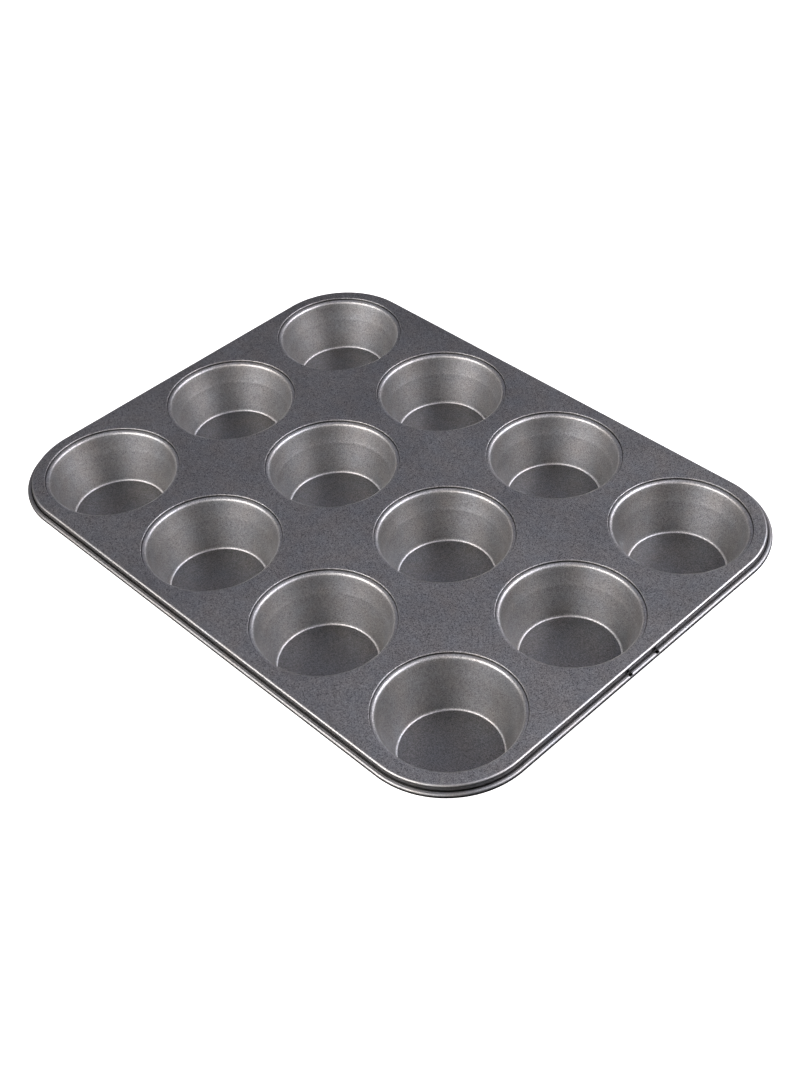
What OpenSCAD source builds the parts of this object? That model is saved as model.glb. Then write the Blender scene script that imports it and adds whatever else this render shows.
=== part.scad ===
// Twelve-cup muffin tin: a thin pressed steel deck, twelve drawn cups seated
// in stepped mouths, a turned-down edge that curls outward round a steel wire.
// Millimetres. Z = 0 is the plane the cup bottoms stand on, X runs along the
// long side, and the origin is the middle of the cup grid.

/* [Tin] */
// Overall length along X, over the curled edge
tin_l = 353; // [350:0.5:372]
// Overall width along Y, over the curled edge
tin_w = 268.5; // [265:0.5:286]
// Height from the cup bottoms to the top of the deck
tin_h = 30.2; // [24:0.1:44]
// Thickness of the coated steel sheet
sheet_t = 0.6; // [0.5:0.05:0.7]
// Plan radius of the corners, at the outer face of the turned-down edge
corner_r = 44.7; // [30:0.1:46]

/* [Cups] */
// Distance between neighbouring cup centres, the same along X and Y
cup_pitch = 86.4; // [85.5:0.1:87]
// Inner radius of the stepped ring round each mouth
ring_r = 37.35; // [36:0.05:38]
// Depth of the step from the deck down to the ledge
step_d = 1.1; // [1:0.05:1.6]
// Radius of the soft lip between the ledge and the cup wall
lip_r = 2; // [1.2:0.1:2.6]
// Slope of the cup wall, degrees from vertical
wall_a = 17.5; // [8:0.5:19]
// Inner radius between the cup wall and the cup floor
floor_fillet = 1.2; // [0.8:0.1:3]

/* [Edge] */
// Outer radius of the bend from the deck into the edge wall
bend_r = 1.25; // [0.9:0.05:1.6]
// Outer radius of the curled bead
bead_r = 1.45; // [1.4:0.05:1.6]
// How far the bead axis stands outside the edge wall
bead_out = 1.25; // [1.2:0.05:1.3]
// How far the bead axis lies below the top of the deck
bead_drop = 4.7; // [4.2:0.1:6]
// Radius of the two round vents punched in the crown of the bead
vent_r = 0.8; // [0.6:0.05:0.85]
// Distance of each vent from the middle of the short side
vent_y = 10; // [8:0.5:14]

/* [Wire] */
// Radial clearance between the wire and the curl it lies in
wire_gap = 0.05; // [0.03:0.01:0.15]
// Distance of each wire end from the middle of the short side
wire_end_y = 13; // [12:0.5:16]

/* [Hidden] */

cols = 4;
rows = 3;
seg = 96;                                  // segments on a full cup circle

// Outer face of the edge wall, half sizes, and the start of the edge bend
face_x = tin_l/2 - bead_r - bead_out;
face_y = tin_w/2 - bead_r - bead_out;
deck_x = face_x - bend_r;
deck_y = face_y - bend_r;
arc_x = face_x - corner_r;                 // centre of a corner arc
arc_y = face_y - corner_r;

// Cup positions
function cup_x(c) = (c - (cols + 1)/2)*cup_pitch;
function cup_y(r) = (r - (rows + 1)/2)*cup_pitch;

// Mouth ring
edge_r = 0.35;                             // rounding of the mouth edge
ring_out = ring_r + sheet_t;
land_r = ring_out + 0.55;                  // where the ring joins the flat deck

// Curl: crease circle between the edge wall and the bead
crease_r = 0.2;
crease_x = crease_r;
crease_z = -bead_drop + sqrt(pow(bead_r + crease_r, 2) - pow(bead_out - crease_r, 2));
crease_a = atan2(-bead_drop - crease_z, bead_out - crease_x);
curl_end = -190;                           // where the free edge stops

// Points on an arc from angle a0 to a1, n steps
function arc(c, r, a0, a1, n) =
    [for (i = [0:n]) let (a = a0 + (a1 - a0)*i/n) [c[0] + r*cos(a), c[1] + r*sin(a)]];

// Section of the edge, x outward from the wall face, y up from the deck top
function edge_section() = concat(
    arc([-bend_r, -bend_r], bend_r, 90, 0, 6),
    arc([crease_x, crease_z], crease_r, 180, 360 + crease_a, 6),
    arc([bead_out, -bead_drop], bead_r, 180 + crease_a, curl_end, 32),
    arc([bead_out, -bead_drop], bead_r - sheet_t, curl_end, 180 + crease_a, 32),
    arc([crease_x, crease_z], crease_r + sheet_t, 360 + crease_a, 180, 6),
    arc([-bend_r, -bend_r], bend_r - sheet_t, 0, 90, 6));

// Section of a mouth ring: rounded edge, riser, and the land that joins the deck
function ring_section() = concat(
    [[land_r, 0]],
    arc([ring_r + edge_r, -edge_r], edge_r, 90, 180, 6),
    [[ring_r, -step_d], [ring_out, -step_d], [ring_out, -sheet_t], [land_r, -sheet_t]]);

// Cup section, x from the cup axis, y up from the deck top
floor_z = -tin_h + sheet_t;
lip_x = ring_r - 0.65;                     // where the ledge turns into the lip
wall_x = lip_x - lip_r*cos(wall_a);        // top of the straight wall
wall_z = -step_d - lip_r + lip_r*sin(wall_a);
foot_x = wall_x - (wall_z - floor_z)*tan(wall_a);
flat_x = foot_x - floor_fillet*tan((90 - wall_a)/2);

function cup_section() = concat(
    [[0, floor_z]],
    arc([flat_x, floor_z + floor_fillet], floor_fillet, -90, -wall_a, 8),
    arc([lip_x, -step_d - lip_r], lip_r, 180 - wall_a, 90, 8),
    [[ring_out, -step_d], [ring_out, -step_d - sheet_t]],
    arc([lip_x, -step_d - lip_r], lip_r - sheet_t, 90, 180 - wall_a, 8),
    arc([flat_x, floor_z + floor_fillet], floor_fillet + sheet_t, -wall_a, -90, 8),
    [[0, -tin_h]]);

sheet_grey = [0.40, 0.40, 0.42];
cup_grey = [0.50, 0.49, 0.49];
wire_grey = [0.68, 0.69, 0.70];

// Flat outline with four equal round corners
module outline(hx, hy, r) {
    square([2*hx, 2*(hy - r)], center = true);
    square([2*(hx - r), 2*hy], center = true);
    for (sx = [-1, 1], sy = [-1, 1])
        translate([sx*(hx - r), sy*(hy - r)]) circle(r = r, $fn = seg);
}

// Flat panel with twelve holes, and the stepped ring pressed round each one
module deck() {
    color(sheet_grey) translate([0, 0, tin_h]) {
        translate([0, 0, -sheet_t]) linear_extrude(height = sheet_t) difference() {
            outline(deck_x, deck_y, corner_r - bend_r);
            for (c = [1:cols], r = [1:rows])
                translate([cup_x(c), cup_y(r)]) circle(r = land_r, $fn = seg);
        }
        for (c = [1:cols], r = [1:rows])
            translate([cup_x(c), cup_y(r), 0])
                rotate_extrude($fn = seg) polygon(ring_section());
    }
}

// One straight run of the edge, along X, its wall face on y = 0 looking to -Y
module edge_run(len) {
    translate([-len/2, 0, 0]) rotate([90, 0, 90])
        linear_extrude(height = len) mirror([1, 0]) polygon(edge_section());
}

// Edge wall and curled bead all round, with two round vents in the bead
module rim() {
    color(sheet_grey) difference() {
        translate([0, 0, tin_h]) {
            translate([0, -face_y, 0]) edge_run(2*arc_x);
            rotate([0, 0, 180]) translate([0, -face_y, 0]) edge_run(2*arc_x);
            rotate([0, 0, 90]) translate([0, -face_x, 0]) edge_run(2*arc_y);
            rotate([0, 0, -90]) translate([0, -face_x, 0]) edge_run(2*arc_y);
            for (q = [0:3])
                translate([(q == 0 || q == 3 ? 1 : -1)*arc_x, (q < 2 ? 1 : -1)*arc_y, 0])
                    rotate([0, 0, 90*q]) rotate_extrude(angle = 90, $fn = seg)
                        translate([corner_r, 0]) polygon(edge_section());
        }
        for (s = [-1, 1])
            translate([face_x + bead_out, s*vent_y, tin_h - bead_drop])
                cylinder(r = vent_r, h = bead_r + 1, $fn = 32);
    }
}

// Steel wire inside the curl, its two ends apart on the vented short side
module rim_wire() {
    wr = bead_r - sheet_t - wire_gap;
    wx = face_x + bead_out;
    wy = face_y + bead_out;
    color(wire_grey) translate([0, 0, tin_h - bead_drop]) {
        for (s = [-1, 1])
            translate([-arc_x, s*wy, 0]) rotate([0, 90, 0]) cylinder(r = wr, h = 2*arc_x, $fn = 32);
        translate([-wx, arc_y, 0]) rotate([90, 0, 0]) cylinder(r = wr, h = 2*arc_y, $fn = 32);
        translate([wx, arc_y, 0]) rotate([90, 0, 0]) cylinder(r = wr, h = arc_y - wire_end_y, $fn = 32);
        translate([wx, -wire_end_y, 0]) rotate([90, 0, 0]) cylinder(r = wr, h = arc_y - wire_end_y, $fn = 32);
        for (q = [0:3])
            translate([(q == 0 || q == 3 ? 1 : -1)*arc_x, (q < 2 ? 1 : -1)*arc_y, 0])
                rotate([0, 0, 90*q]) rotate_extrude(angle = 90, $fn = seg)
                    translate([corner_r + bead_out, 0]) circle(r = wr, $fn = 32);
    }
}

// One drawn cup: ledge, soft lip, sloping wall, filleted floor
module cup(c, r) {
    color(cup_grey) translate([cup_x(c), cup_y(r), tin_h])
        rotate_extrude($fn = seg) polygon(cup_section());
}

module cup_a1() { cup(1, 1); }
module cup_a2() { cup(2, 1); }
module cup_a3() { cup(3, 1); }
module cup_a4() { cup(4, 1); }
module cup_b1() { cup(1, 2); }
module cup_b2() { cup(2, 2); }
module cup_b3() { cup(3, 2); }
module cup_b4() { cup(4, 2); }
module cup_c1() { cup(1, 3); }
module cup_c2() { cup(2, 3); }
module cup_c3() { cup(3, 3); }
module cup_c4() { cup(4, 3); }

deck();
rim();
rim_wire();
cup_a1();
cup_a2();
cup_a3();
cup_a4();
cup_b1();
cup_b2();
cup_b3();
cup_b4();
cup_c1();
cup_c2();
cup_c3();
cup_c4();
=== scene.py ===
import math

import bpy
import numpy as np
from mathutils import Matrix, Vector


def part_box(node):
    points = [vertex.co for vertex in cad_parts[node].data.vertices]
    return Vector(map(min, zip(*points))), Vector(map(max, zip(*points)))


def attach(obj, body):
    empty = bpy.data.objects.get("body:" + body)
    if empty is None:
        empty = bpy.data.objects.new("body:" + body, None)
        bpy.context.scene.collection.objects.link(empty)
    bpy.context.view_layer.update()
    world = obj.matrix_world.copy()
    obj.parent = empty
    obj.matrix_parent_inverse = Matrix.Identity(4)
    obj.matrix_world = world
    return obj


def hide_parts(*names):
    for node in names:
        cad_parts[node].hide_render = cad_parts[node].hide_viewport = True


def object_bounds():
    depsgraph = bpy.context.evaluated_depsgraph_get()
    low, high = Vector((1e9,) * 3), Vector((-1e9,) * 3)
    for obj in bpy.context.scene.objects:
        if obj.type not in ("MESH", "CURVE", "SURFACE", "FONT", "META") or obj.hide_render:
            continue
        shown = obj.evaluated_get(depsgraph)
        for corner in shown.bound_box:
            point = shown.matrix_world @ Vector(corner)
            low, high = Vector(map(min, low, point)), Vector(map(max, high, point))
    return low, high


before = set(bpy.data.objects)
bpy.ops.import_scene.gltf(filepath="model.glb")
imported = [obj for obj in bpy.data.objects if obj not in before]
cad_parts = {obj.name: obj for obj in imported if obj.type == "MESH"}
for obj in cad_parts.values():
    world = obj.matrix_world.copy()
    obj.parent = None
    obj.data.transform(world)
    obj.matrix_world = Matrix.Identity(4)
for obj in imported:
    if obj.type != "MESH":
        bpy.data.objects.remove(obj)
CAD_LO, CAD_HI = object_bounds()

MM = 0.001

# ---------------------------------------------------------------- sizes, mm
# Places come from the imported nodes; section shapes are those of the design.
T = 0.6                                    # sheet thickness
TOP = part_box("deck")[1].z / MM             # top of the deck
RIM_LO, RIM_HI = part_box("rim")
HALF_X = (RIM_HI.x - RIM_LO.x) / 2 / MM
HALF_Y = (RIM_HI.y - RIM_LO.y) / 2 / MM
BEAD_R, BEAD_OUT, BEAD_DROP = 1.45, 1.25, 4.7
BEND_R, CREASE_R, CORNER_R = 1.25, 0.2, 44.7
FACE_X, FACE_Y = HALF_X - BEAD_R - BEAD_OUT, HALF_Y - BEAD_R - BEAD_OUT
ARC_X, ARC_Y = FACE_X - CORNER_R, FACE_Y - CORNER_R
CREASE_Z = -BEAD_DROP + math.sqrt((BEAD_R + CREASE_R) ** 2 - (BEAD_OUT - CREASE_R) ** 2)
CREASE_A = math.degrees(math.atan2(-BEAD_DROP - CREASE_Z, BEAD_OUT - CREASE_R))
CURL_END = -190.0
VENT_R, VENT_Y = 0.8, 10.0
WIRE_R, WIRE_END_Y = 0.8, 13.0

RING_R, STEP_D, EDGE_R = 37.35, 1.1, 0.35
LIP_R, WALL_A, FLOOR_F = 2.0, 17.5, 1.2
RING_OUT, LAND_R = RING_R + T, RING_R + T + 0.55

CUPS = {}
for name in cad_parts:
    if name.startswith("cup_"):
        lo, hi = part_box(name)
        CUPS[name] = ((lo.x + hi.x) / 2 / MM, (lo.y + hi.y) / 2 / MM)
CUP_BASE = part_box("cup_a1")[0].z / MM - TOP


def arc(cx, cz, r, a0, a1, n):
    a = np.radians(np.linspace(a0, a1, n + 1))
    return np.stack([cx + r * np.cos(a), cz + r * np.sin(a)], 1)


# ---------------------------------------------------------------- mesh tools
def build(name, verts, faces, material, nodes, slot, attrs=None, sharp=38.0):
    """A closed shell in metres from vertices in millimetres, smooth but for its hard edges."""
    me = bpy.data.meshes.new(name)
    me.from_pydata((np.asarray(verts, float) * MM).tolist(), [], [tuple(int(i) for i in f) for f in faces])
    me.update()
    for key, values in (attrs or {}).items():
        a = me.attributes.new(key, "FLOAT", "POINT")
        a.data.foreach_set("value", np.asarray(values, np.float32))
    me.polygons.foreach_set("use_smooth", np.ones(len(me.polygons), bool))
    # hard edges from the angle between the two faces
    n_e = len(me.edges)
    normals = np.empty(len(me.polygons) * 3, np.float32)
    me.polygons.foreach_get("normal", normals)
    normals = normals.reshape(-1, 3)
    loop_edge = np.empty(len(me.loops), np.int32)
    me.loops.foreach_get("edge_index", loop_edge)
    starts = np.empty(len(me.polygons), np.int32)
    totals = np.empty(len(me.polygons), np.int32)
    me.polygons.foreach_get("loop_start", starts)
    me.polygons.foreach_get("loop_total", totals)
    loop_face = np.repeat(np.arange(len(starts)), totals)
    order = np.argsort(loop_edge, kind="stable")
    le, lf = loop_edge[order], loop_face[order]
    first = np.searchsorted(le, np.arange(n_e))
    count = np.bincount(le, minlength=n_e)
    hard = count != 2
    two = np.where(count == 2)[0]
    f0, f1 = lf[first[two]], lf[first[two] + 1]
    dot = np.einsum("ij,ij->i", normals[f0], normals[f1])
    hard[two] |= dot < math.cos(math.radians(sharp))
    me.edges.foreach_set("use_edge_sharp", hard)
    me.materials.append(material)
    me.update()
    ob = bpy.data.objects.new(name, me)
    bpy.context.scene.collection.objects.link(ob)
    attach(ob, "root")
    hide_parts(*nodes)
    return ob


# ---------------------------------------------------------------- materials
def node(tree, kind, x, y, **inputs):
    n = tree.nodes.new(kind)
    n.location = (x, y)
    for key, value in inputs.items():
        n.inputs[key.replace("_", " ")].default_value = value
    return n


def coating(name, dark, light, rough, metallic, grain_bump):
    """Satin grey coating: metallic flake grain, cloudy tone, fine orange-peel bump."""
    m = bpy.data.materials.new(name)
    m.use_nodes = True
    t = m.node_tree
    t.nodes.clear()
    link = t.links.new
    out = node(t, "ShaderNodeOutputMaterial", 900, 0)
    bsdf = node(t, "ShaderNodeBsdfPrincipled", 600, 0)
    bsdf.inputs["Metallic"].default_value = metallic
    bsdf.inputs["IOR"].default_value = 1.5
    bsdf.inputs["Coat Weight"].default_value = 0.6
    bsdf.inputs["Coat Roughness"].default_value = 0.18
    bsdf.inputs["Coat IOR"].default_value = 1.5
    link(bsdf.outputs["BSDF"], out.inputs["Surface"])
    co = node(t, "ShaderNodeTexCoord", -1200, 0)

    flake = node(t, "ShaderNodeTexVoronoi", -900, 300, Scale=3100.0)
    flake.feature = "F1"
    link(co.outputs["Object"], flake.inputs["Vector"])
    sep = node(t, "ShaderNodeSeparateColor", -700, 300)
    link(flake.outputs["Color"], sep.inputs["Color"])
    grain = node(t, "ShaderNodeTexNoise", -900, 50, Scale=2400.0, Detail=1.0, Roughness=0.5)
    link(co.outputs["Object"], grain.inputs["Vector"])
    cloud = node(t, "ShaderNodeTexNoise", -900, -200, Scale=28.0, Detail=2.0, Roughness=0.5)
    link(co.outputs["Object"], cloud.inputs["Vector"])

    mix = node(t, "ShaderNodeMath", -500, 250)
    mix.operation = "MULTIPLY_ADD"
    link(sep.outputs["Red"], mix.inputs[0])
    mix.inputs[1].default_value = 0.60
    link(grain.outputs["Fac"], mix.inputs[2])
    mix2 = node(t, "ShaderNodeMath", -330, 250)
    mix2.operation = "MULTIPLY_ADD"
    link(cloud.outputs["Fac"], mix2.inputs[0])
    mix2.inputs[1].default_value = 0.03
    link(mix.outputs[0], mix2.inputs[2])
    span = node(t, "ShaderNodeMapRange", -330, 60)
    span.inputs["From Min"].default_value = 0.40
    span.inputs["From Max"].default_value = 1.25
    link(mix2.outputs[0], span.inputs["Value"])
    ramp = node(t, "ShaderNodeValToRGB", -150, 250)
    ramp.color_ramp.elements[0].position = 0.0
    ramp.color_ramp.elements[0].color = (*dark, 1)
    ramp.color_ramp.elements[1].position = 1.0
    ramp.color_ramp.elements[1].color = (*light, 1)
    link(span.outputs["Result"], ramp.inputs["Fac"])
    # painted light and shade: the base colour is made lighter on bends, fillets and lips where highlights fall, and
    # darker in creases, corners and seams where shade falls
    tone = node(t, "ShaderNodeAttribute", -150, 450)
    tone.attribute_name = "painted_shading"
    shade = node(t, "ShaderNodeVectorMath", 150, 250)
    shade.operation = "SCALE"
    slow = node(t, "ShaderNodeTexNoise", -900, 650, Scale=70.0, Detail=2.0, Roughness=0.6)
    link(co.outputs["Object"], slow.inputs["Vector"])
    hue = node(t, "ShaderNodeValToRGB", -600, 650)
    hue.color_ramp.elements[0].color = (1.0, 0.93, 0.87, 1)
    hue.color_ramp.elements[1].color = (0.87, 0.93, 1.0, 1)
    link(slow.outputs["Fac"], hue.inputs["Fac"])
    tint = node(t, "ShaderNodeVectorMath", 0, 380)
    tint.operation = "MULTIPLY"
    link(ramp.outputs["Color"], tint.inputs[0])
    link(hue.outputs["Color"], tint.inputs[1])
    link(tint.outputs["Vector"], shade.inputs[0])
    link(tone.outputs["Fac"], shade.inputs["Scale"])
    link(shade.outputs["Vector"], bsdf.inputs["Base Color"])

    rr = node(t, "ShaderNodeMapRange", -150, -50)
    rr.inputs["From Min"].default_value = 0.3
    rr.inputs["From Max"].default_value = 0.7
    rr.inputs["To Min"].default_value = rough - 0.03
    rr.inputs["To Max"].default_value = rough + 0.03
    link(cloud.outputs["Fac"], rr.inputs["Value"])
    link(rr.outputs["Result"], bsdf.inputs["Roughness"])

    fine = node(t, "ShaderNodeTexNoise", -900, -450, Scale=1400.0, Detail=2.0, Roughness=0.5)
    link(co.outputs["Object"], fine.inputs["Vector"])
    bump = node(t, "ShaderNodeBump", 300, -250)
    bump.inputs["Strength"].default_value = grain_bump
    bump.inputs["Distance"].default_value = 0.00002
    link(fine.outputs["Fac"], bump.inputs["Height"])
    link(bump.outputs["Normal"], bsdf.inputs["Normal"])
    return m


def wire_steel():
    m = bpy.data.materials.new("wire_steel")
    m.use_nodes = True
    t = m.node_tree
    bsdf = t.nodes["Principled BSDF"]
    bsdf.inputs["Metallic"].default_value = 1.0
    co = node(t, "ShaderNodeTexCoord", -900, 0)
    n = node(t, "ShaderNodeTexNoise", -700, 0, Scale=600.0, Detail=4.0, Roughness=0.6)
    t.links.new(co.outputs["Object"], n.inputs["Vector"])
    r = node(t, "ShaderNodeValToRGB", -450, 100)
    r.color_ramp.elements[0].color = (0.30, 0.30, 0.31, 1)
    r.color_ramp.elements[1].color = (0.62, 0.62, 0.63, 1)
    t.links.new(n.outputs["Fac"], r.inputs["Fac"])
    t.links.new(r.outputs["Color"], bsdf.inputs["Base Color"])
    q = node(t, "ShaderNodeMapRange", -450, -150)
    q.inputs["To Min"].default_value = 0.25
    q.inputs["To Max"].default_value = 0.5
    t.links.new(n.outputs["Fac"], q.inputs["Value"])
    t.links.new(q.outputs["Result"], bsdf.inputs["Roughness"])
    return m


DECK_MAT = coating("deck_coating", (0.12, 0.12, 0.12), (0.69, 0.69, 0.69), 0.48, 1.0, 0.35)
EDGE_MAT = coating("edge_coating", (0.30, 0.30, 0.30), (0.47, 0.47, 0.47), 0.48, 1.0, 0.2)
CUP_MAT = coating("cup_coating", (0.21, 0.21, 0.21), (0.62, 0.62, 0.62), 0.48, 1.0, 0.3)
WIRE_MAT = wire_steel()


# ---------------------------------------------------------------- deck
SEG = 160                                  # points round a mouth, a multiple of 8


def cup_grid():
    xs = sorted({round(c[0], 3) for c in CUPS.values()})
    ys = sorted({round(c[1], 3) for c in CUPS.values()})
    return xs, ys


def outline_hit(cx, cy, ux, uy):
    """Where a ray from a cup axis meets the deck's outline."""
    hx, hy, r = FACE_X - BEND_R, FACE_Y - BEND_R, CORNER_R - BEND_R
    best = None
    tx = ((hx if ux > 0 else -hx) - cx) / ux if abs(ux) > 1e-9 else 1e9
    ty = ((hy if uy > 0 else -hy) - cy) / uy if abs(uy) > 1e-9 else 1e9
    best = min(tx, ty)
    x, y = cx + best * ux, cy + best * uy
    if abs(x) > ARC_X and abs(y) > ARC_Y:
        ox, oy = cx - math.copysign(ARC_X, x), cy - math.copysign(ARC_Y, y)
        b = ox * ux + oy * uy
        c = ox * ox + oy * oy - r * r
        best = -b + math.sqrt(b * b - c)
        x, y = cx + best * ux, cy + best * uy
    return x, y


def make_deck():
    xs, ys = cup_grid()
    px, py = xs[1] - xs[0], ys[1] - ys[0]
    verts, faces, index = [], [], {}

    def vid(x, y, z):
        key = (round(x, 3), round(y, 3), round(z, 4))
        i = index.get(key)
        if i is None:
            i = index[key] = len(verts)
            verts.append((x, y, z))
        return i

    ring = np.concatenate([
        [[LAND_R, 0.0]],
        arc(RING_R + EDGE_R, -EDGE_R, EDGE_R, 90, 180, 8),
        [[RING_R, -STEP_D], [RING_OUT, -STEP_D], [RING_OUT, -T], [LAND_R, -T]]])
    for ci, cx in enumerate(xs):
        for ri, cy in enumerate(ys):
            hxp = px / 2 if ci < len(xs) - 1 else FACE_X - BEND_R - cx
            hxm = px / 2 if ci > 0 else FACE_X - BEND_R + cx
            hyp = py / 2 if ri < len(ys) - 1 else FACE_Y - BEND_R - cy
            hym = py / 2 if ri > 0 else FACE_Y - BEND_R + cy
            outer = []
            for k in range(SEG):
                a = 2 * math.pi * k / SEG
                c, s = math.cos(a), math.sin(a)
                if abs(c) < 1e-12: c = 0.0
                if abs(s) < 1e-12: s = 0.0
                hx, hy = (hxp if c >= 0 else hxm), (hyp if s >= 0 else hym)
                corner = (ci in (0, len(xs) - 1)) and (ri in (0, len(ys) - 1)) and \
                    ((c >= 0) == (ci > 0)) and ((s >= 0) == (ri > 0)) and c != 0 and s != 0
                if corner:
                    x, y = outline_hit(cx, cy, c, s)
                elif abs(c) >= abs(s) - 1e-9:
                    x, y = cx + math.copysign(hx, c), cy + hy * s / abs(c)
                else:
                    x, y = cx + hx * c / abs(s), cy + math.copysign(hy, s)
                outer.append((x, y))
            inner = [(cx + LAND_R * math.cos(2 * math.pi * k / SEG), cy + LAND_R * math.sin(2 * math.pi * k / SEG)) for k in range(SEG)]
            loops = []
            for f in (0.0, 0.25, 0.55, 1.0):       # top, from the outline in to the land
                loops.append([vid(o[0] + (i[0] - o[0]) * f, o[1] + (i[1] - o[1]) * f, TOP) for o, i in zip(outer, inner)])
            for r, z in ring[1:]:
                loops.append([vid(cx + r * math.cos(2 * math.pi * k / SEG), cy + r * math.sin(2 * math.pi * k / SEG), TOP + z) for k in range(SEG)])
            for f in (0.45, 0.75, 1.0):            # underside, from the land out
                loops.append([vid(i[0] + (o[0] - i[0]) * f, i[1] + (o[1] - i[1]) * f, TOP - T) for o, i in zip(outer, inner)])
            for a, b in zip(loops[:-1], loops[1:]):
                for k in range(SEG):
                    q = (a[k], a[(k + 1) % SEG], b[(k + 1) % SEG], b[k])
                    q = tuple(dict.fromkeys(q))
                    if len(q) > 2:
                        faces.append(q[::-1])
            # outer wall of the sheet, where the cell lies on the outline
            for k in range(SEG):
                k2 = (k + 1) % SEG
                mx, my = (outer[k][0] + outer[k2][0]) / 2, (outer[k][1] + outer[k2][1]) / 2
                on_x = abs(abs(mx) - (FACE_X - BEND_R)) < 1e-3
                on_y = abs(abs(my) - (FACE_Y - BEND_R)) < 1e-3
                in_corner = abs(mx) > ARC_X and abs(my) > ARC_Y and \
                    abs(math.hypot(abs(mx) - ARC_X, abs(my) - ARC_Y) - (CORNER_R - BEND_R)) < 0.05
                if on_x or on_y or in_corner:
                    faces.append((loops[0][k], loops[0][k2], loops[-1][k2], loops[-1][k]))
    # a face of the underside is drawn the other way up from the ring above it, so let the shell settle that
    # painted shade and highlight by height: the riser of each mouth step and the deck underside are painted dark
    # where shade falls, and the rounded mouth edge is painted light where its highlight falls
    zz = np.array([v[2] for v in verts]) - TOP
    tone = np.interp(zz, [-STEP_D, -EDGE_R, -0.2, -0.03, 0.0], [0.12, 0.4, 1.35, 1.55, 1.0])
    return build_consistent("deck_panel", verts, faces, DECK_MAT, ["deck"], "deck_coating",
                            attrs={"painted_shading": tone})


def build_consistent(name, verts, faces, *args, **kw):
    ob = build(name, verts, faces, *args, **kw)
    import bmesh
    bm = bmesh.new()
    bm.from_mesh(ob.data)
    bmesh.ops.recalc_face_normals(bm, faces=bm.faces)
    bm.to_mesh(ob.data)
    bm.free()
    ob.data.update()
    return ob


# ---------------------------------------------------------------- cups
# how strongly the draw line shows, cup by cup: the depth of its bow and of the painted light band along it
DRAW_LINE = {"cup_a1": 0.9, "cup_a2": 0.8, "cup_a3": 1.0, "cup_a4": 0.35, "cup_b1": 1.2, "cup_b2": 1.3,
             "cup_b3": 1.3, "cup_b4": 1.1, "cup_c1": 1.0, "cup_c2": 1.2, "cup_c3": 1.3, "cup_c4": 1.0}


def cup_profile(line):
    """Closed section of a cup, from the floor centre up the inside and down the outside."""
    fz = CUP_BASE + T
    lip_x = RING_R - 0.65
    ta = math.radians(WALL_A)
    wall_x = lip_x - LIP_R * math.cos(ta)
    wall_z = -STEP_D - LIP_R + LIP_R * math.sin(ta)
    foot_x = wall_x - (wall_z - fz) * math.tan(ta)
    flat_x = foot_x - FLOOR_F * math.tan(math.radians((90 - WALL_A) / 2))
    foot = arc(flat_x, fz + FLOOR_F, FLOOR_F, -90, -WALL_A, 12)
    lip = arc(lip_x, -STEP_D - LIP_R, LIP_R, 180 - WALL_A, 90, 14)
    a, b = foot[-1], lip[0]
    steps = np.unique(np.concatenate([np.linspace(0, 1, 24), np.linspace(0.56, 0.76, 18)]))
    wall = a + (b - a) * steps[1:-1, None]
    # shallow draw line left in the wall
    n = np.array([-math.cos(ta), math.sin(ta)])
    bow = 0.035 * line * np.exp(-((wall[:, 1] + 12.0) / 0.9) ** 2)
    wall = wall + n * bow[:, None]
    floor = np.array([[r, fz] for r in (6.0, 12.0, 18.0, 22.5)])
    f = 0.06
    corner = arc(RING_R - f, -STEP_D + f, f, -90, 0, 6)
    inside = np.concatenate([floor, foot, wall, lip, corner, [[RING_R, -STEP_D], [RING_OUT, -STEP_D]]])
    out_lip = arc(lip_x, -STEP_D - LIP_R, LIP_R - T, 90, 180 - WALL_A, 8)
    out_foot = arc(flat_x, fz + FLOOR_F, FLOOR_F + T, -WALL_A, -90, 12)
    c, d = out_lip[-1], out_foot[0]
    out_wall = c + (d - c) * np.linspace(0, 1, 8)[1:-1, None]
    out_floor = np.array([[r, fz - T] for r in (22.5, 18.0, 12.0, 6.0)])
    outside = np.concatenate([[[RING_OUT, -STEP_D - T]], out_lip, out_wall, out_foot, out_floor])
    return inside, outside, fz


def cup_painted_shading(rad, dep, line):
    """Painted light and shade of a cup: a dark floor, a light fillet and wall with bright bands where highlights
    fall, a lighter band at the draw line, and a dark seam under the deck where shade falls.
    """
    # painted highlight and shade by depth: dark floor, bright floor fillet, lighter draw-line band and a bright band
    # on the lip
    z = [-29.7, -29.55, -28.9, -28.4, -27.6, -26.0, -12.7, -11.9, -11.3, -10.4, -4.5, -3.2, -1.2]
    k = [0.80, 1.58, 1.46, 0.84, 0.96, 1.04, 1.00, 1.01 + 0.06 * line, 1.03 + 0.10 * line, 1.04 + 0.06 * line, 1.03, 1.15, 1.40]
    wall = np.interp(dep, z, k)
    floor = np.interp(rad, [0, 12, 18, 22.6], [0.62, 0.64, 0.65, 0.61])
    out = np.where(dep < -29.55, floor, wall)
    # painted shade: a dark line where the cup's ledge meets the deck's mouth step
    seam_shade = np.clip((rad - (RING_R - 0.65)) / 0.35, 0, 1) * (dep > -1.3)
    return out * (1 - 0.9 * seam_shade)


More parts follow.
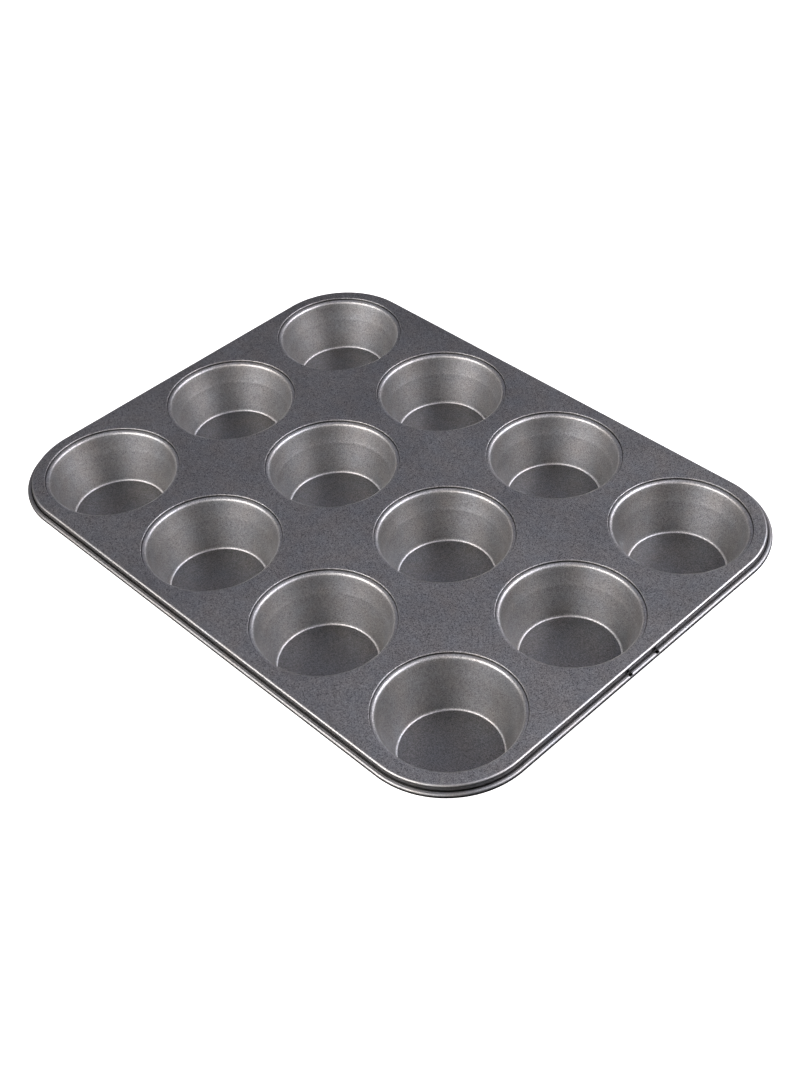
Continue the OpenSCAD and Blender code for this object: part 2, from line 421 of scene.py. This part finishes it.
def make_cup(name, cx, cy):
    line = DRAW_LINE.get(name, 1.0)
    inside, outside, fz = cup_profile(line)
    prof = np.concatenate([inside, outside])
    n = len(prof)
    a = 2 * np.pi * np.arange(SEG) / SEG
    ca, sa = np.cos(a), np.sin(a)
    verts = np.empty((n, SEG, 3))
    verts[:, :, 0] = cx + prof[:, 0:1] * ca
    verts[:, :, 1] = cy + prof[:, 0:1] * sa
    verts[:, :, 2] = TOP + prof[:, 1:2]
    verts = verts.reshape(-1, 3)
    top_c, bot_c = len(verts), len(verts) + 1
    verts = np.vstack([verts, [cx, cy, TOP + fz], [cx, cy, TOP + fz - T]])
    faces = []
    for i in range(n - 1):
        for k in range(SEG):
            k2 = (k + 1) % SEG
            faces.append((i * SEG + k, i * SEG + k2, (i + 1) * SEG + k2, (i + 1) * SEG + k))
    for k in range(SEG):
        k2 = (k + 1) % SEG
        faces.append((top_c, k2, k)[::-1])
        faces.append((bot_c, (n - 1) * SEG + k, (n - 1) * SEG + k2)[::-1])
    rad = np.concatenate([np.repeat(prof[:, 0], SEG), [0, 0]])
    dep = np.concatenate([np.repeat(prof[:, 1], SEG), [fz, fz - T]])
    return build_consistent(name + "_shell", verts, faces, CUP_MAT, [name], "cup_coating",
                            attrs={"painted_shading": cup_painted_shading(rad, dep, line)})


# ---------------------------------------------------------------- rim
def rim_section():
    """Closed section of the edge, x outward from the wall face, y up from the deck top."""
    s1 = arc(-BEND_R, -BEND_R, BEND_R, 90, 0, 10)
    wall = np.array([[0.0, z] for z in (-BEND_R - 0.5, -BEND_R - 1.0, CREASE_Z + 0.7, CREASE_Z + 0.3)])
    s3 = arc(CREASE_R, CREASE_Z, CREASE_R, 180, 360 + CREASE_A, 8)
    s4 = arc(BEAD_OUT, -BEAD_DROP, BEAD_R, 180 + CREASE_A, CURL_END, 56)[1:]
    s5 = arc(BEAD_OUT, -BEAD_DROP, BEAD_R - T, CURL_END, 180 + CREASE_A, 48)
    s6 = arc(CREASE_R, CREASE_Z, CREASE_R + T, 360 + CREASE_A, 180, 10)[1:]
    s7 = arc(-BEND_R, -BEND_R, BEND_R - T, 0, 90, 6)
    i3 = len(s1) + len(wall)
    i4 = i3 + len(s3) - 1                  # bead starts here
    pts = np.concatenate([s1, wall, s3, s4, s5, s6, s7])
    j5 = i4 + 1 + len(s4)                  # first point of the inner curl
    out_range = (i3 + 4, i4 + 17)
    j_mid = j5 + len(s5) - 1               # inner curl meets the back of the crease
    in_range = (j_mid - 18, j_mid + 3)
    return pts, out_range, in_range


def stations():
    """Points along the edge wall's outer face, with outward directions, anticlockwise from the +X side."""
    st = []

    def side(p0, p1, ang, marks):
        for f in marks[:-1]:
            st.append((p0[0] + (p1[0] - p0[0]) * f, p0[1] + (p1[1] - p0[1]) * f, ang))

    def corner(cx, cy, a0):
        for k in range(48):
            a = a0 + 90 * k / 48
            st.append((cx + CORNER_R * math.cos(math.radians(a)), cy + CORNER_R * math.sin(math.radians(a)), a))

    near = []
    for v in (-VENT_Y, VENT_Y):
        near += [v - 1.4 + 0.2 * k for k in range(15)]
    far = [y for y in np.arange(-ARC_Y, ARC_Y + 0.01, 2 * ARC_Y / 24) if all(abs(y - v) > 2.2 for v in (-VENT_Y, VENT_Y))]
    ys = sorted(set([round(y, 6) for y in list(far) + near]))
    marks = [(y + ARC_Y) / (2 * ARC_Y) for y in ys]
    marks[0], marks[-1] = 0.0, 1.0
    side((FACE_X, -ARC_Y), (FACE_X, ARC_Y), 0, marks)
    corner(ARC_X, ARC_Y, 0)
    side((ARC_X, FACE_Y), (-ARC_X, FACE_Y), 90, list(np.linspace(0, 1, 31)))
    corner(-ARC_X, ARC_Y, 90)
    side((-FACE_X, ARC_Y), (-FACE_X, -ARC_Y), 180, list(np.linspace(0, 1, 21)))
    corner(-ARC_X, -ARC_Y, 180)
    side((-ARC_X, -FACE_Y), (ARC_X, -FACE_Y), 270, list(np.linspace(0, 1, 31)))
    corner(ARC_X, -ARC_Y, 270)
    return st


def z_out(d):
    """Height of the outer face of the crease and bead crown."""
    tangent = BEAD_OUT + BEAD_R * math.cos(math.radians(180 + CREASE_A))
    if d < tangent:
        return CREASE_Z - math.sqrt(max(CREASE_R ** 2 - (d - CREASE_R) ** 2, 0))
    return -BEAD_DROP + math.sqrt(max(BEAD_R ** 2 - (d - BEAD_OUT) ** 2, 0))


def z_in(d):
    r = BEAD_R - T
    tangent = BEAD_OUT + r * math.cos(math.radians(180 + CREASE_A))
    if d < tangent:
        return CREASE_Z - math.sqrt(max((CREASE_R + T) ** 2 - (d - CREASE_R) ** 2, 0))
    return -BEAD_DROP + math.sqrt(max(r ** 2 - (d - BEAD_OUT) ** 2, 0))


def rim_painted_shading(sec):
    """Painted light and shade along the edge section: painted shade in the crease, inside the curl and under the
    bead, painted highlight on the deck-edge bend and the bead crown.
    """
    d, z = sec[:, 0], sec[:, 1]
    out = np.full(len(sec), 0.5)
    bend = (z > -BEND_R - 1e-6)
    out[bend] = np.interp(z[bend], [-BEND_R, -0.7, -0.3, -0.05, 0.0], [0.75, 1.0, 1.4, 1.5, 1.1])
    wall = (z <= -BEND_R) & (z >= CREASE_Z) & (d < 0.05)
    out[wall] = np.interp(z[wall], [CREASE_Z, CREASE_Z + 0.3, CREASE_Z + 0.7, -BEND_R], [0.03, 0.05, 0.7, 0.9])
    out[(np.hypot(d - CREASE_R, z - CREASE_Z) < CREASE_R + 0.02)] = 0.04
    r = np.hypot(d - BEAD_OUT, z + BEAD_DROP)
    bead = np.abs(r - BEAD_R) < 0.02
    ang = np.degrees(np.arctan2(z + BEAD_DROP, d - BEAD_OUT))
    ang = np.where(ang > 180 + CREASE_A + 1, ang - 360, ang)
    out[bead] = np.interp(ang[bead], [-200, -20, 2, 18, 35, 70, 112, 121, 130], [0.05, 0.05, 0.12, 0.6, 1.12, 1.05, 0.95, 0.1, 0.03])
    return out


def make_rim():
    sec, (i0, i1), (j0, j1) = rim_section()
    st = stations()
    ns, n = len(st), len(sec)
    verts = []
    for x, y, a in st:
        c, s = math.cos(math.radians(a)), math.sin(math.radians(a))
        for d, z in sec:
            verts.append((x + d * c, y + d * s, TOP + z))
    faces = []
    holes = []
    for v in (-VENT_Y, VENT_Y):
        rows = [k for k, (x, y, a) in enumerate(st) if a == 0 and x > 0 and v - 1.41 < y < v + 1.41]
        holes.append((v, rows))
    cut = set()
    for v, rows in holes:
        for k in rows[:-1]:
            for i in list(range(i0, i1)) + list(range(j0, j1)):
                cut.add((k, i))
    for k in range(ns):
        k2 = (k + 1) % ns
        for i in range(n):
            if (k, i) in cut:
                continue
            i2 = (i + 1) % n
            faces.append((k * n + i, k2 * n + i, k2 * n + i2, k * n + i2))

    def patch(v, rows, a, b, height, dip):
        # boundary loop of grid points, once round
        loop = [(rows[0], i) for i in range(a, b)] + [(k, b) for k in rows[:-1]] + \
               [(rows[-1], i) for i in range(b, a, -1)] + [(k, a) for k in reversed(rows[1:])]
        ids = [k * n + i for k, i in loop]
        dy = [(sec[i][0] - BEAD_OUT, st[k][1] - v) for k, i in loop]
        t = [math.atan2(q, p) for p, q in dy]
        rings = [ids]
        for f in (0.35, 0.62, 0.80, 0.92, 1.0):
            new = []
            for (p, q), tt in zip(dy, t):
                hx, hy = VENT_R * math.cos(tt), VENT_R * math.sin(tt)
                d, y = p + (hx - p) * f, q + (hy - q) * f
                gap = math.hypot(d, y) - VENT_R
                z = height(BEAD_OUT + d) - dip * max(0.0, 1 - gap / 0.38) ** 2
                new.append(len(verts))
                verts.append((FACE_X + BEAD_OUT + d, v + y, TOP + z))
            rings.append(new)
        m = len(ids)
        for r0, r1 in zip(rings[:-1], rings[1:]):
            for k in range(m):
                k2 = (k + 1) % m
                faces.append((r0[k], r0[k2], r1[k2], r1[k]))
        return rings[-1], t

    for v, rows in holes:
        top_ring, t = patch(v, rows, i0, i1, z_out, 0.28)
        # the inner face runs the other way along the section, so mirror the order
        loop = [(rows[0], j) for j in range(j1, j0, -1)] + [(k, j0) for k in rows[:-1]] + \
               [(rows[-1], j) for j in range(j0, j1)] + [(k, j1) for k in reversed(rows[1:])]
        ids = [k * n + i for k, i in loop]
        dy = [(sec[i][0] - BEAD_OUT, st[k][1] - v) for k, i in loop]
        rings = [ids]
        for f in (0.5, 1.0):
            new = []
            for (p, q), tt in zip(dy, t):
                hx, hy = VENT_R * math.cos(tt), VENT_R * math.sin(tt)
                d, y = p + (hx - p) * f, q + (hy - q) * f
                z = min(z_in(BEAD_OUT + d), z_out(BEAD_OUT + d) - 0.45)
                new.append(len(verts))
                verts.append((FACE_X + BEAD_OUT + d, v + y, TOP + z))
            rings.append(new)
        m = len(ids)
        for r0, r1 in zip(rings[:-1], rings[1:]):
            for k in range(m):
                k2 = (k + 1) % m
                faces.append((r0[k], r1[k], r1[k2], r0[k2]))
        for k in range(m):
            k2 = (k + 1) % m
            faces.append((top_ring[k], top_ring[k2], rings[-1][k2], rings[-1][k]))
    # painted shade: the dished mouth of a vent is painted near black, most of all on its crease side, where the hole
    # lies in shade
    extra = np.array(verts[ns * n:])
    d = extra[:, 0] - FACE_X - BEAD_OUT
    y = np.abs(extra[:, 1]) - VENT_Y
    gap = np.hypot(d, y) - VENT_R
    vent_painted_shade = np.interp(gap, [0.0, 0.45, 0.8], [0.03, 0.05, 0.7])
    vent_painted_shade = np.where((d < 0.0) & (gap < 0.65), np.minimum(vent_painted_shade, 0.04), vent_painted_shade)
    tone = np.concatenate([np.tile(rim_painted_shading(sec), ns), vent_painted_shade])
    # painted shade: a dark spot on the crown beside each vent, standing for the shade of the hole
    p = np.array(verts)
    vent_shade_spot = np.hypot(p[:, 0] - FACE_X - BEAD_OUT + 0.5, np.abs(p[:, 1]) - VENT_Y)
    crown = (p[:, 0] > FACE_X - 0.05) & (p[:, 2] > TOP - BEAD_DROP)
    tone = np.where(crown & (vent_shade_spot < 1.25), np.minimum(tone, 0.04), tone)
    return build_consistent("rolled_rim", verts, faces, EDGE_MAT, ["rim"], "deck_coating", attrs={"painted_shading": tone})


# ---------------------------------------------------------------- wire
def make_wire():
    st = stations()
    r_path = BEAD_OUT
    start = [k for k, (x, y, a) in enumerate(st) if a == 0 and x > 0 and y > WIRE_END_Y]
    stop = [k for k, (x, y, a) in enumerate(st) if a == 0 and x > 0 and y < -WIRE_END_Y]
    order = start + [k for k, s in enumerate(st) if s[2] > 0] + stop
    path = [(FACE_X + r_path, WIRE_END_Y, 0.0)]
    for k in order:
        x, y, a = st[k]
        path.append((x + r_path * math.cos(math.radians(a)), y + r_path * math.sin(math.radians(a)), a))
    path.append((FACE_X + r_path, -WIRE_END_Y, 0.0))
    ring = 20
    verts, faces = [], []
    loops = []

    def loop_at(x, y, a, r):
        c, s = math.cos(math.radians(a)), math.sin(math.radians(a))
        ids = []
        for j in range(ring):
            b = 2 * math.pi * j / ring
            ids.append(len(verts))
            verts.append((x + r * math.cos(b) * c, y + r * math.cos(b) * s, TOP - BEAD_DROP + r * math.sin(b)))
        return ids

    x, y, a = path[0]
    loops.append(loop_at(x, y, a, WIRE_R - 0.18))
    loops.append(loop_at(x, y + 0.18, a, WIRE_R))
    for x, y, a in path[1:-1]:
        loops.append(loop_at(x, y, a, WIRE_R))
    x, y, a = path[-1]
    loops.append(loop_at(x, y - 0.18, a, WIRE_R))
    loops.append(loop_at(x, y, a, WIRE_R - 0.18))
    for l0, l1 in zip(loops[:-1], loops[1:]):
        for j in range(ring):
            j2 = (j + 1) % ring
            faces.append((l0[j], l0[j2], l1[j2], l1[j]))
    for ids, yy in ((loops[0], path[0]), (loops[-1], path[-1])):
        c = len(verts)
        verts.append((yy[0], yy[1], TOP - BEAD_DROP))
        for j in range(ring):
            faces.append((c, ids[(j + 1) % ring], ids[j]))
    return build_consistent("edge_wire", verts, faces, WIRE_MAT, ["rim_wire"], "wire_steel")


SHELLS = [make_deck()]
make_rim()
make_wire()
for cup_name, (cup_x, cup_y) in sorted(CUPS.items()):
    SHELLS.append(make_cup(cup_name, cup_x, cup_y))

# ---------------------------------------------------------------- stage
lo, hi = CAD_LO, CAD_HI
MID = Vector(((lo.x + hi.x) / 2, (lo.y + hi.y) / 2, 0))


def make_floor():
    me = bpy.data.meshes.new("floor")
    s = 6.0
    me.from_pydata([(-s, -s, 0), (s, -s, 0), (s, s, 0), (-s, s, 0)], [], [(0, 1, 2, 3)])
    ob = bpy.data.objects.new("floor", me)
    ob.location = (MID.x, MID.y, lo.z - 0.0002)
    bpy.context.scene.collection.objects.link(ob)
    m = bpy.data.materials.new("floor_pale")
    m.use_nodes = True
    b = m.node_tree.nodes["Principled BSDF"]
    b.inputs["Base Color"].default_value = (0.9, 0.9, 0.9, 1)
    b.inputs["Roughness"].default_value = 0.9
    b.inputs["Emission Color"].default_value = (1, 1, 1, 1)
    b.inputs["Emission Strength"].default_value = 0.96
    me.materials.append(m)
    ob.visible_glossy = False
    ob.visible_diffuse = False
    return ob


make_floor()

world = bpy.data.worlds.new("studio")
bpy.context.scene.world = world
world.use_nodes = True
world.node_tree.nodes["Background"].inputs["Color"].default_value = (1, 1, 1, 1)
world.node_tree.nodes["Background"].inputs["Strength"].default_value = 1.0
world.cycles_visibility.diffuse = False    # a white backdrop only; the softboxes light the tin
world.cycles_visibility.glossy = False
world.cycles_visibility.transmission = False
world.cycles_visibility.scatter = False


def softbox(name, azimuth, elevation, width, height, power, colour):
    """Area light 1.6 m from the tin, facing it. Azimuth is anticlockwise from +X."""
    a, e = math.radians(azimuth), math.radians(elevation)
    back = Vector((math.cos(a) * math.cos(e), math.sin(a) * math.cos(e), math.sin(e)))
    data = bpy.data.lights.new(name, "AREA")
    data.shape = "RECTANGLE"
    data.size, data.size_y = width, height
    data.energy = power
    data.color = colour
    ob = bpy.data.objects.new(name, data)
    bpy.context.scene.collection.objects.link(ob)
    ob.location = MID + back * 1.6
    ob.rotation_mode = "QUATERNION"
    ob.rotation_quaternion = (-back).to_track_quat("-Z", "Y")
    return ob


WARM, COOL, FILL = (1.0, 0.952, 0.927), (0.96, 0.938, 1.0), (0.84, 0.83, 1.0)
softbox("key_left_1", 235, 35, 0.50, 0.75, 5.8, WARM)
softbox("key_left_2", 255, 35, 0.50, 0.75, 7.5, WARM)
softbox("key_left_3", 275, 35, 0.50, 0.75, 6.05, WARM)
softbox("key_left_4", 297, 35, 0.50, 0.75, 3.0, WARM)
softbox("key_left_low", 248, 15, 1.30, 0.35, 3.8, WARM)
softbox("key_right_1", 22, 35, 0.50, 0.75, 4.95, COOL)
softbox("key_right_2", 43, 35, 0.50, 0.75, 7.75, COOL)
softbox("key_right_3", 64, 35, 0.50, 0.75, 5.8, COOL)
softbox("key_right_4", 85, 35, 0.50, 0.75, 1.7, COOL)
softbox("key_right_high", 29, 56, 0.90, 0.40, 3.9, COOL)
softbox("fill_front", 330, 28, 0.6, 0.6, 0.14, FILL)
softbox("fill_back", 140, 48, 0.9, 0.9, 0.65, FILL)
softbox("fill_back_left", 180, 28, 0.9, 0.9, 0.55, FILL)
softbox("fill_back_right", 110, 28, 0.9, 0.9, 0.15, FILL)
softbox("fill_top", 140, 75, 0.9, 0.9, 0.95, FILL)
# light returned by the pale floor, which reaches only the undersides
under = bpy.data.collections.new("undersides")
for ob in SHELLS:
    under.objects.link(ob)
for k, azimuth in enumerate((45, 135, 225, 315)):
    lamp = softbox("floor_bounce_%d" % (k + 1), azimuth, -32, 1.2, 0.8, 3.4, (1.0, 1.0, 1.0))
    lamp.light_linking.receiver_collection = under
    lamp.light_linking.blocker_collection = under

# ---------------------------------------------------------------- camera
cam_data = bpy.data.cameras.new("camera")
cam = bpy.data.objects.new("camera", cam_data)
bpy.context.scene.collection.objects.link(cam)
cam_data.sensor_width = 36.0
cam_data.sensor_fit = "AUTO"
cam_data.lens = 52.42
cam_data.clip_start, cam_data.clip_end = 0.01, 50
cam_data.dof.use_dof = False
right = Vector((0.7029391, 0.7092481, -0.0533262))
down = Vector((0.4556521, -0.5066297, -0.7319204))
fwd = Vector((-0.5461298, 0.4901973, -0.6793003))
rot = Matrix((right, -down, -fwd)).transposed()
cam.matrix_world = Matrix.Translation(MID + Vector((0.48207, -0.42585, TOP * MM + 0.55904))) @ rot.to_4x4()
bpy.context.scene.camera = cam
bpy.context.scene.view_settings.view_transform = "Standard"
bpy.context.scene.view_settings.look = "None"
